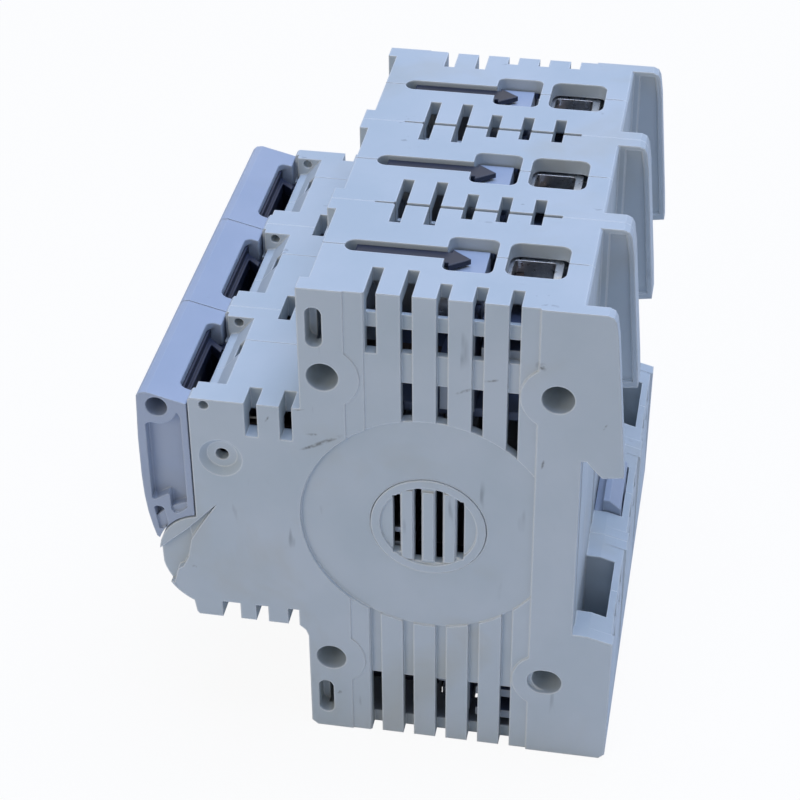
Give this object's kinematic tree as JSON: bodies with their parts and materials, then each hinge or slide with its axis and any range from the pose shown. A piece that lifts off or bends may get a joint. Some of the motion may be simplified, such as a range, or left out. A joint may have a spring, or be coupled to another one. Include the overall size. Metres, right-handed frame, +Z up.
{
  "type": "fuse switch disconnector",
  "caption": "Rail-mounted fuse switch disconnector with ganged flip-down handles, fuse links, box terminals and a rail latch.",
  "frame": {"origin": "middle of the lower face of the bounding box: the middle pole's seam in X, the middle of the overall depth in Y, the lower ends of the terminal blocks at Z = 0", "axes": "+Z up along the poles, -Y the front with the handles, +Y towards the mounting rail, +X along the rail"},
  "size_m": [0.081, 0.0778, 0.09],
  "materials": {
    "housing_plastic": "moulded, fine satin grain, light grey",
    "handle_plastic": "moulded, satin, light grey",
    "dark_plastic": "moulded, near black",
    "porcelain": "smooth fired ceramic, off-white",
    "silvered_metal": "plated end caps",
    "copper": "bare rolled copper",
    "spring_steel": "bright drawn wire and strip",
    "plain_steel": "stamped sheet",
    "zinc_steel": "zinc plated"
  },
  "bodies": {
    "housing": {"shell_right_1": "housing_plastic", "shell_left_1": "housing_plastic", "vent_grilles_1": "housing_plastic", "contact_upper_1": "copper", "contact_lower_1": "copper", "jaw_springs_1": "spring_steel", "arc_plates_1": "plain_steel", "screw_guides_1": "housing_plastic", "cage_springs_1": "dark_plastic", "shell_right_2": "housing_plastic", "shell_left_2": "housing_plastic", "vent_grilles_2": "housing_plastic", "contact_upper_2": "copper", "contact_lower_2": "copper", "jaw_springs_2": "spring_steel", "arc_plates_2": "plain_steel", "screw_guides_2": "housing_plastic", "cage_springs_2": "dark_plastic", "shell_right_3": "housing_plastic", "shell_left_3": "housing_plastic", "vent_grilles_3": "housing_plastic", "contact_upper_3": "copper", "contact_lower_3": "copper", "jaw_springs_3": "spring_steel", "arc_plates_3": "plain_steel", "screw_guides_3": "housing_plastic", "cage_springs_3": "dark_plastic", "pole_rivets": "zinc_steel", "latch_spring": "spring_steel"},
    "switch_lever": {"handle_1": "handle_plastic", "fuse_carrier_1": "dark_plastic", "fuse_barrel_1": "porcelain", "fuse_caps_1": "silvered_metal", "handle_2": "handle_plastic", "fuse_carrier_2": "dark_plastic", "fuse_barrel_2": "porcelain", "fuse_caps_2": "silvered_metal", "handle_3": "handle_plastic", "fuse_carrier_3": "dark_plastic", "fuse_barrel_3": "porcelain", "fuse_caps_3": "silvered_metal", "tie_bar": "zinc_steel"},
    "latch": {"rail_latch": "handle_plastic"},
    "screw_upper_body_1": {"screw_upper_1": "zinc_steel"},
    "cage_upper_body_1": {"cage_upper_1": "zinc_steel"},
    "screw_lower_body_1": {"screw_lower_1": "zinc_steel"},
    "cage_lower_body_1": {"cage_lower_1": "zinc_steel"},
    "screw_upper_body_2": {"screw_upper_2": "zinc_steel"},
    "cage_upper_body_2": {"cage_upper_2": "zinc_steel"},
    "screw_lower_body_2": {"screw_lower_2": "zinc_steel"},
    "cage_lower_body_2": {"cage_lower_2": "zinc_steel"},
    "screw_upper_body_3": {"screw_upper_3": "zinc_steel"},
    "cage_upper_body_3": {"cage_upper_3": "zinc_steel"},
    "screw_lower_body_3": {"screw_lower_3": "zinc_steel"},
    "cage_lower_body_3": {"cage_lower_3": "zinc_steel"}
  },
  "joints": [
    {"name": "handle_swing", "type": "hinge", "parent": "housing", "child": "switch_lever", "pos_m": [0, -0.0288, 0.0355], "axis": [1, 0, 0], "range_deg": [0, 60]},
    {"name": "latch_slide", "type": "slide", "parent": "housing", "child": "latch", "axis": [0, 0, -1], "range_m": [0, 0.003], "stiffness_N_per_m": 300, "springref_m": -0.003, "deforming": ["latch_spring"]},
    {"name": "screw_upper_turn_1", "type": "hinge", "parent": "housing", "child": "screw_upper_body_1", "pos_m": [0.027, 0, 0.0824], "axis": [0, 1, 0], "range_deg": [0, 1080]},
    {"name": "cage_upper_slide_1", "type": "slide", "parent": "housing", "child": "cage_upper_body_1", "axis": [0, -1, 0], "range_m": [0, 0.0024]},
    {"name": "screw_lower_turn_1", "type": "hinge", "parent": "housing", "child": "screw_lower_body_1", "pos_m": [0.027, 0, 0.0076], "axis": [0, 1, 0], "range_deg": [0, 1080]},
    {"name": "cage_lower_slide_1", "type": "slide", "parent": "housing", "child": "cage_lower_body_1", "axis": [0, -1, 0], "range_m": [0, 0.0024]},
    {"name": "screw_upper_turn_2", "type": "hinge", "parent": "housing", "child": "screw_upper_body_2", "pos_m": [0, 0, 0.0824], "axis": [0, 1, 0], "range_deg": [0, 1080]},
    {"name": "cage_upper_slide_2", "type": "slide", "parent": "housing", "child": "cage_upper_body_2", "axis": [0, -1, 0], "range_m": [0, 0.0024]},
    {"name": "screw_lower_turn_2", "type": "hinge", "parent": "housing", "child": "screw_lower_body_2", "pos_m": [0, 0, 0.0076], "axis": [0, 1, 0], "range_deg": [0, 1080]},
    {"name": "cage_lower_slide_2", "type": "slide", "parent": "housing", "child": "cage_lower_body_2", "axis": [0, -1, 0], "range_m": [0, 0.0024]},
    {"name": "screw_upper_turn_3", "type": "hinge", "parent": "housing", "child": "screw_upper_body_3", "pos_m": [-0.027, 0, 0.0824], "axis": [0, 1, 0], "range_deg": [0, 1080]},
    {"name": "cage_upper_slide_3", "type": "slide", "parent": "housing", "child": "cage_upper_body_3", "axis": [0, -1, 0], "range_m": [0, 0.0024]},
    {"name": "screw_lower_turn_3", "type": "hinge", "parent": "housing", "child": "screw_lower_body_3", "pos_m": [-0.027, 0, 0.0076], "axis": [0, 1, 0], "range_deg": [0, 1080]},
    {"name": "cage_lower_slide_3", "type": "slide", "parent": "housing", "child": "cage_lower_body_3", "axis": [0, -1, 0], "range_m": [0, 0.0024]}
  ],
  "couplings": [
    {"joint": "screw_upper_turn_1", "follows": "cage_upper_slide_1", "rad_per_m": 7853.9},
    {"joint": "screw_lower_turn_1", "follows": "cage_lower_slide_1", "rad_per_m": 7853.9},
    {"joint": "screw_upper_turn_2", "follows": "cage_upper_slide_2", "rad_per_m": 7853.9},
    {"joint": "screw_lower_turn_2", "follows": "cage_lower_slide_2", "rad_per_m": 7853.9},
    {"joint": "screw_upper_turn_3", "follows": "cage_upper_slide_3", "rad_per_m": 7853.9},
    {"joint": "screw_lower_turn_3", "follows": "cage_lower_slide_3", "rad_per_m": 7853.9}
  ]
}
